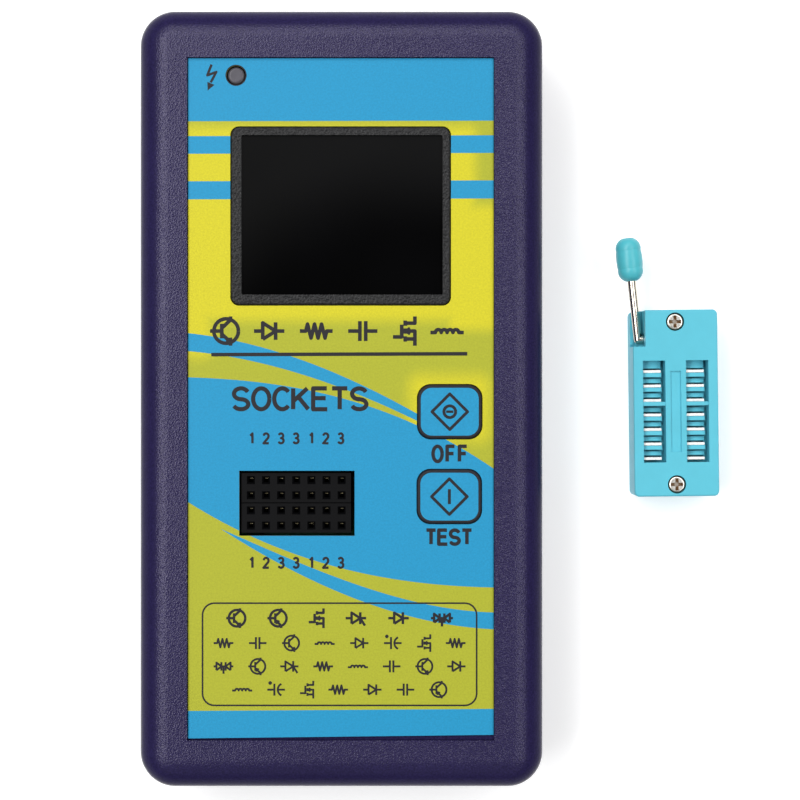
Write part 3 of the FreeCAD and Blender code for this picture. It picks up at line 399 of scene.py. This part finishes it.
def bezier(x0, x3, heights, steps=36):
    """Points of a smooth curve across the panel, from four control heights."""
    points = []
    for i in range(steps + 1):
        t = i / steps
        weights = ((1 - t) ** 3, 3 * t * (1 - t) ** 2, 3 * t * t * (1 - t), t ** 3)
        points.append(Vector((x0 + (x3 - x0) * t, sum(w * y for w, y in zip(weights, heights)))))
    return points


def stroke_shapes(line, width, closed=False):
    """The shapes that draw a polyline: a rectangle for each run and a disc at each corner."""
    points = [Vector(p) for p in line]
    if closed:
        points.append(points[0])
    shapes = [segment_shape(a, b, width) for a, b in zip(points, points[1:])
              if (b - a).length > 1e-6]
    shapes += [disc(p.x, p.y, width / 2, 12) for p in points[1:-1]]
    return shapes


def printed(name, shapes, holes, base, layer, material, body):
    """A thin printed piece: the union of flat shapes less the holes, in millimetres."""
    points, faces = [], []
    for shape in shapes + holes:
        corners = [Vector((p[0], p[1])) for p in shape]
        turn = sum(a.cross(b) for a, b in zip(corners, corners[1:] + corners[:1]))
        faces.append(list(range(len(points), len(points) + len(corners))))
        points.extend(corners if turn > 0 else reversed(corners))
    cut = delaunay_2d_cdt(points, [], faces, 1, 1e-4, True)
    flat, triangles, origins = cut[0], cut[2], cut[5]
    mesh = bmesh.new()
    verts = [mesh.verts.new((p.x, p.y, 0.0)) for p in flat]
    for triangle, origin in zip(triangles, origins):
        if any(i < len(shapes) for i in origin) and not any(i >= len(shapes) for i in origin):
            mesh.faces.new([verts[i] for i in triangle])
    bmesh.ops.delete(mesh, geom=[v for v in mesh.verts if not v.link_faces], context="VERTS")
    bmesh.ops.dissolve_limit(mesh, angle_limit=0.01, verts=mesh.verts, edges=mesh.edges)
    raised = bmesh.ops.extrude_face_region(mesh, geom=list(mesh.faces))["geom"]
    height = PRINT_STEP * layer / MM
    for v in raised:
        if isinstance(v, bmesh.types.BMVert):
            v.co.z += height
    bmesh.ops.recalc_face_normals(mesh, faces=mesh.faces)
    bmesh.ops.transform(mesh, matrix=Matrix.Scale(MM, 4), verts=mesh.verts)
    for v in mesh.verts:
        v.co.z += base
    data = bpy.data.meshes.new(name)
    mesh.to_mesh(data)
    mesh.free()
    piece = bpy.data.objects.new(name, data)
    bpy.context.scene.collection.objects.link(piece)
    data.materials.append(MATERIALS[material])
    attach(piece, body)
    return piece


# ---------------------------------------------------------------- circuit symbols and letters
def bow(x, y, half_width, half_height, start, end, steps=14):
    """Part of an ellipse, between two angles in degrees."""
    angles = [math.radians(start + (end - start) * i / steps) for i in range(steps + 1)]
    return [(x + half_width * math.cos(a), y + half_height * math.sin(a)) for a in angles]


def arc(x, y, radius, start, end, steps=10):
    return bow(x, y, radius, radius, start, end, steps)


ARROW = [(-0.10, 0.07), (0.0, 0.0), (-0.10, -0.07)]


def arrow_at(x, y, angle, scale=1.3):
    a = math.radians(angle)
    return [(x + scale * (px * math.cos(a) - py * math.sin(a)),
             y + scale * (px * math.sin(a) + py * math.cos(a))) for px, py in ARROW]


def transistor(emitter_out):
    tip = (0.70, 0.12) if emitter_out else (0.46, 0.36)
    turn = -52 if emitter_out else 128
    return [arc(0.55, 0.5, 0.42, 0, 360, 28), [(0.0, 0.5), (0.4, 0.5)], [(0.4, 0.25), (0.4, 0.75)],
            [(0.4, 0.6), (0.7, 0.88), (0.7, 1.0)], [(0.4, 0.4), (0.7, 0.12), (0.7, 0.0)],
            arrow_at(*tip, turn)]


def field_transistor():
    return [[(0.0, 0.3), (0.3, 0.3), (0.3, 0.72)], [(0.42, 0.14), (0.42, 0.32)],
            [(0.42, 0.41), (0.42, 0.59)], [(0.42, 0.68), (0.42, 0.86)],
            [(0.42, 0.23), (0.75, 0.23), (0.75, 0.0)], [(0.42, 0.77), (0.75, 0.77), (0.75, 1.0)],
            [(0.42, 0.5), (0.75, 0.5), (0.75, 0.23)], arrow_at(0.46, 0.5, 180)]


def diode(gate=False):
    lines = [[(0.0, 0.5), (0.3, 0.5)], [(0.3, 0.22), (0.3, 0.78), (0.74, 0.5), (0.3, 0.22)],
             [(0.74, 0.2), (0.74, 0.8)], [(0.74, 0.5), (1.04, 0.5)]]
    return lines + ([[(0.74, 0.5), (0.98, 0.12)]] if gate else [])


def double_diode():
    half = [[(0.0, 0.5), (0.16, 0.5)], [(0.16, 0.28), (0.16, 0.72), (0.44, 0.5), (0.16, 0.28)],
            [(0.44, 0.26), (0.44, 0.74)]]
    mirrored = [[(1.12 - x, y) for x, y in line] for line in half]
    return half + mirrored + [[(0.44, 0.5), (0.68, 0.5)], [(0.56, 0.5), (0.56, 0.08)]]


def resistor():
    zigzag = [(0.0, 0.5), (0.2, 0.5)]
    zigzag += [(0.26 + 0.12 * i, 0.74 if i % 2 == 0 else 0.26) for i in range(6)]
    return [zigzag + [(0.92, 0.5), (1.12, 0.5)]]


def inductor():
    loops = []
    for i in range(4):
        loops += arc(0.27 + 0.2 * i, 0.45, 0.1, 180, 0, 8)
    return [[(0.0, 0.45), (0.17, 0.45)] + loops + [(1.14, 0.45)]]


def capacitor(polar=False):
    lines = [[(0.0, 0.5), (0.4, 0.5)], [(0.4, 0.16), (0.4, 0.84)], [(0.6, 0.5), (1.0, 0.5)]]
    if polar:
        return lines + [arc(0.95, 0.5, 0.36, 115, 245), [(0.16, 0.78), (0.16, 0.98)],
                        [(0.06, 0.88), (0.26, 0.88)]]
    return lines + [[(0.6, 0.16), (0.6, 0.84)]]


SYMBOLS = {
    "npn": transistor(True), "pnp": transistor(False), "mos": field_transistor(),
    "diode": diode(), "scr": diode(True), "pair": double_diode(), "res": resistor(),
    "coil": inductor(), "cap": capacitor(), "polar": capacitor(True),
}


# plain letters and figures, each a list of strokes with its foot at 0 and its head at 1
SYMBOLS.update({
    "S": [bow(0.26, 0.74, 0.26, 0.26, 20, 270) + bow(0.26, 0.24, 0.27, 0.24, 90, -160)],
    "O": [bow(0.3, 0.5, 0.3, 0.5, 0, 360, 28)],
    "C": [bow(0.3, 0.5, 0.3, 0.5, 42, 318, 24)],
    "K": [[(0.0, 0.0), (0.0, 1.0)], [(0.52, 1.0), (0.0, 0.38)], [(0.18, 0.6), (0.56, 0.0)]],
    "E": [[(0.5, 1.0), (0.0, 1.0), (0.0, 0.0), (0.52, 0.0)], [(0.0, 0.53), (0.46, 0.53)]],
    "T": [[(0.0, 1.0), (0.56, 1.0)], [(0.28, 1.0), (0.28, 0.0)]],
    "F": [[(0.48, 1.0), (0.0, 1.0), (0.0, 0.0)], [(0.0, 0.52), (0.42, 0.52)]],
    "1": [[(0.02, 0.76), (0.24, 1.0), (0.24, 0.0)]],
    "2": [bow(0.26, 0.72, 0.25, 0.28, 165, -35) + [(0.0, 0.0), (0.54, 0.0)]],
    "3": [bow(0.24, 0.76, 0.22, 0.24, 155, -90) + bow(0.24, 0.26, 0.26, 0.26, 90, -155)],
})


def span_of(name):
    """How wide a symbol or letter is, as a share of its height."""
    return max(p[0] for line in SYMBOLS[name] for p in line)


def drawn(name, x, y, height, width, stretch=1.0):
    """One symbol or letter as stroke shapes, from its lower left corner."""
    shapes = []
    for line in SYMBOLS[name]:
        shapes += stroke_shapes([(x + px * height * stretch, y + py * height) for px, py in line],
                                width)
    return shapes


def symbol_row(names, left, right, baseline, height, width, stretch=1.0):
    """Symbols spread evenly from left to right, drawn as strokes."""
    spans = [span_of(n) * height * stretch for n in names]
    gap = (right - left - sum(spans)) / (len(names) - 1)
    shapes, x = [], left
    for name, span in zip(names, spans):
        shapes += drawn(name, x, baseline, height, width, stretch)
        x += span + gap
    return shapes


# ---------------------------------------------------------------- the printed front film
PANEL_LEFT, PANEL_RIGHT = film_low.x / MM, film_high.x / MM
PANEL_TOP, PANEL_FOOT = film_high.y / MM, film_low.y / MM
KEY_CENTRES = {key: centre(key + "_key_cap") / MM for key in ("off", "test")}
KEY_WIDTH, KEY_HEIGHT, KEY_CORNER = 10.8, 9.1, 2.35
KEY_BORDER = 0.55                  # the dark border left round each key's face
led = centre("indicator_led") / MM
LAMP_HOLE, LAMP_RING = 1.6, 1.78   # radii of the film's hole and of the dark ring round it
sockets_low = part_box("test_header_lower")[0] / MM
sockets_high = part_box("test_header_upper")[1] / MM
sockets = (sockets_low + sockets_high) / 2
DIGIT_SPACING, DIGIT_HEIGHT, DIGIT_STROKE = 2.5, 1.65, 0.4
bezel = centre("display_bezel") / MM
BEZEL_WIDTH, BEZEL_LENGTH = 36.78, 29.85    # the part of the bezel that stands out of the film
PLAY = 0.2                         # how much wider the film's holes are than what fills them

openings = [rounded_rectangle(bezel.x, bezel.y, BEZEL_WIDTH + PLAY, BEZEL_LENGTH + PLAY, 1.5)]
openings += [rounded_rectangle(c.x, c.y, KEY_WIDTH + PLAY, KEY_HEIGHT + PLAY, KEY_CORNER)
             for c in KEY_CENTRES.values()]
openings.append(rectangle(-17.015, -22.95, 2.315, -12.05))      # round the socket strips
openings.append(disc(led.x, led.y, LAMP_HOLE))


def band(top, foot, tilt=0.15):
    """A straight stripe right across the film, a hair out of square."""
    return [(PANEL_LEFT, top), (PANEL_LEFT, foot), (PANEL_RIGHT, foot + tilt),
            (PANEL_RIGHT, top + tilt)]


def between(upper, lower):
    """The area between two curves that both run from left to right."""
    return upper + list(reversed(lower))


CURVE_A = bezier(PANEL_LEFT, 14.0, (11.0, 9.6, 4.4, -3.2))
CURVE_B = bezier(PANEL_LEFT, 14.0, (8.0, 6.8, 2.3, -4.3))
CURVE_C = bezier(PANEL_LEFT, PANEL_RIGHT, (3.6, 3.1, 0.0, -11.7))
CURVE_D = bezier(PANEL_LEFT, PANEL_RIGHT, (-17.3, -28.0, -31.3, -31.6))
CURVE_E = bezier(-20.1, PANEL_RIGHT, (-21.8, -28.5, -35.4, -35.8))
CURVE_F = bezier(-20.1, PANEL_RIGHT, (-21.8, -31.6, -37.9, -38.6))[1:]
foot_strip = [(PANEL_LEFT, -52.3), (PANEL_LEFT, PANEL_FOOT), (PANEL_RIGHT, PANEL_FOOT + 0.6),
              (PANEL_RIGHT, -51.95)]
cyan_shapes = [
    [(PANEL_LEFT, PANEL_TOP), (PANEL_LEFT, 46.5), (PANEL_RIGHT, 46.6), (PANEL_RIGHT, PANEL_TOP)],
    band(44.0, 41.05), band(36.44, 33.42), between(CURVE_A, CURVE_B), between(CURVE_C, CURVE_D),
    between(CURVE_E, CURVE_F), foot_strip,
]
printed("film_cyan_areas", cyan_shapes, openings, FILM_TOP, 1, "cyan", "tester")

# everything printed in dark ink, as one piece per group
printed("title_symbols", symbol_row(["npn", "diode", "res", "cap", "mos", "coil"],
                                    -21.9, 20.6, 8.9, 4.9, 0.62),
        [], FILM_TOP, 2, "ink", "tester")
printed("title_rule", [segment_shape((-21.7, 7.4), (21.2, 7.55), 0.6)], [], FILM_TOP, 2, "ink",
        "tester")
for name, word, left, right, foot, height, stroke, stretch in (
        ("sockets_label", "SOCKETS", -17.9, 4.3, -1.75, 3.5, 0.72, 1.3),
        ("off_label", "OFF", 15.45, 21.1, -10.5, 2.55, 0.6, 1.0),
        ("test_label", "TEST", 14.35, 21.9, -24.35, 2.35, 0.6, 1.17)):
    printed(name, symbol_row(list(word), left, right, foot, height, stroke, stretch), [],
            FILM_TOP, 2, "ink", "tester")
for name, foot in (("upper_pin_numbers", -7.45), ("lower_pin_numbers", -28.3)):
    digits = []
    for column, digit in enumerate("1233123"):
        middle = sockets.x + (column - 3) * DIGIT_SPACING
        digits += drawn(digit, middle - span_of(digit) * DIGIT_HEIGHT / 2, foot, DIGIT_HEIGHT,
                        DIGIT_STROKE)
    printed(name, digits, [], FILM_TOP, 2, "ink", "tester")
frame_outer = rounded_rectangle(-0.2, -42.8, 46.2, 17.4, 2.1)
frame_inner = rounded_rectangle(-0.2, -42.8, 45.65, 16.85, 1.85)
printed("guide_frame", [frame_outer], [frame_inner], FILM_TOP, 2, "ink", "tester")
GUIDE_ROWS = (
    (["npn", "pnp", "mos", "scr", "diode", "pair"], -19.2, 18.8, -38.4, 3.3, 0.42),
    (["res", "cap", "npn", "coil", "diode", "polar", "mos", "res"], -21.3, 20.9, -42.4, 2.95, 0.33),
    (["pair", "pnp", "scr", "res", "coil", "cap", "npn", "diode"], -21.3, 20.9, -46.3, 2.95, 0.33),
    (["coil", "polar", "mos", "res", "diode", "cap", "pnp"], -18.2, 17.7, -50.2, 2.95, 0.33),
)
guide = [shape for row in GUIDE_ROWS for shape in symbol_row(*row)]
printed("guide_symbols", guide, [], FILM_TOP, 2, "ink", "tester")
bolt = stroke_shapes([(-21.65, 56.0), (-22.35, 54.2), (-20.85, 54.75), (-21.8, 53.0)], 0.42)
bolt.append([(-22.35, 53.1), (-21.15, 52.6), (-22.3, 51.65)])
printed("live_mark", bolt, [], FILM_TOP, 2, "ink", "tester")
printed("lamp_ring", [disc(led.x, led.y, LAMP_RING)], [disc(led.x, led.y, LAMP_HOLE)], FILM_TOP, 2,
        "ink", "tester")

# the marks on the two keys
DIAMOND, MARK_STROKE = 2.98, 0.5   # the diamond's half width, and the width of its line
for key, c in KEY_CENTRES.items():
    top = top_of(key + "_key_cap")
    face = rounded_rectangle(c.x, c.y, KEY_WIDTH - 2 * KEY_BORDER, KEY_HEIGHT - 2 * KEY_BORDER,
                             KEY_CORNER - 0.5)
    printed(key + "_key_face", [face], [], top, 1, "cyan", key + "_key")
    diamond = [(c.x - DIAMOND, c.y), (c.x, c.y - DIAMOND), (c.x + DIAMOND, c.y),
               (c.x, c.y + DIAMOND)]
    mark = stroke_shapes(diamond, MARK_STROKE, closed=True)
    mark.append(disc(*diamond[0], MARK_STROKE / 2, 12))
    if key == "off":
        mark += stroke_shapes(arc(c.x, c.y, 0.98, 0, 360, 32), MARK_STROKE)
        mark.append(segment_shape((c.x - 0.6, c.y), (c.x + 0.6, c.y), 0.42))
    else:
        mark.append(segment_shape((c.x, c.y - 1.25), (c.x, c.y + 1.25), MARK_STROKE))
    printed(key + "_key_mark", mark, [], top, 2, "ink", key + "_key")

# ---------------------------------------------------------------- floor, lights and camera
def white_paper(name):
    """Matt white paper with a faint glow, so that it stays white between the lights."""
    mat, tree, shader = new_material(name)
    cloud = noise(tree, 40.0, 2.0)
    tint = ramp(tree, cloud, [(0.3, (0.93, 0.93, 0.93)), (0.7, (0.94, 0.94, 0.94))])
    tree.links.new(tint, shader.inputs["Base Color"])
    shader.inputs["Roughness"].default_value = 0.9
    shader.inputs["Specular IOR Level"].default_value = 0.1
    shader.inputs["Emission Color"].default_value = (1.0, 1.0, 1.0, 1.0)
    shader.inputs["Emission Strength"].default_value = 0.3
    return mat


FLOOR = 3.0                        # half the floor's side, in metres
FLOOR_DROP = 0.02 * MM             # how far it lies under the object, so that no faces coincide
floor_mesh = bpy.data.meshes.new("floor")
floor_mesh.from_pydata([(-FLOOR, -FLOOR, 0), (FLOOR, -FLOOR, 0), (FLOOR, FLOOR, 0),
                        (-FLOOR, FLOOR, 0)], [], [(0, 1, 2, 3)])
floor = bpy.data.objects.new("floor", floor_mesh)
bpy.context.scene.collection.objects.link(floor)
floor.location.z = -FLOOR_DROP
floor_mesh.materials.append(white_paper("floor_white"))


def area_light(name, place_at, aim, width, height, power):
    """A white softbox with its size in metres and its power in watts."""
    data = bpy.data.lights.new(name, "AREA")
    data.shape = "RECTANGLE"
    data.size, data.size_y = width, height
    data.energy = power
    lamp = bpy.data.objects.new(name, data)
    bpy.context.scene.collection.objects.link(lamp)
    lamp.location = place_at
    lamp.rotation_euler = (Vector(aim) - Vector(place_at)).to_track_quat("-Z", "Y").to_euler()
    return lamp


AIM = (0.01, 0.0, 0.01)
area_light("softbox_left", (-0.54, 0.15, 1.18), AIM, 1.2, 0.36, 12.0)
area_light("softbox_right", (0.66, 0.10, 1.14), AIM, 1.2, 0.4, 6.5)
area_light("softbox_back", (0.0, 0.84, 0.98), AIM, 1.0, 0.4, 5.0)


def studio_sky():
    """A dim even surround that darkens straight overhead, where the camera hangs."""
    world = bpy.data.worlds.new("studio")
    world.use_nodes = True
    tree = world.node_tree
    background = tree.nodes["Background"]
    split = add(tree, "SeparateXYZ")
    tree.links.new(add(tree, "TexCoord").outputs["Generated"], split.inputs[0])
    edge, middle = math.cos(math.radians(7.5)), math.cos(math.radians(4.5))
    strength = eased(tree, split.outputs["Z"], edge, middle, 0.2, 0.01)
    tree.links.new(strength, background.inputs["Strength"])
    background.inputs["Color"].default_value = (1.0, 1.0, 1.0, 1.0)
    return world


bpy.context.scene.world = studio_sky()
bpy.context.scene.view_settings.view_transform = "Standard"

camera_data = bpy.data.cameras.new("camera")
camera_data.lens = 88.8
camera_data.sensor_width = 36.0
camera_data.clip_start = 0.01
camera = bpy.data.objects.new("camera", camera_data)
bpy.context.scene.collection.objects.link(camera)
camera.location = (0.00992, -0.0002, 0.355)     # straight above the two pieces, looking down
bpy.context.scene.camera = camera
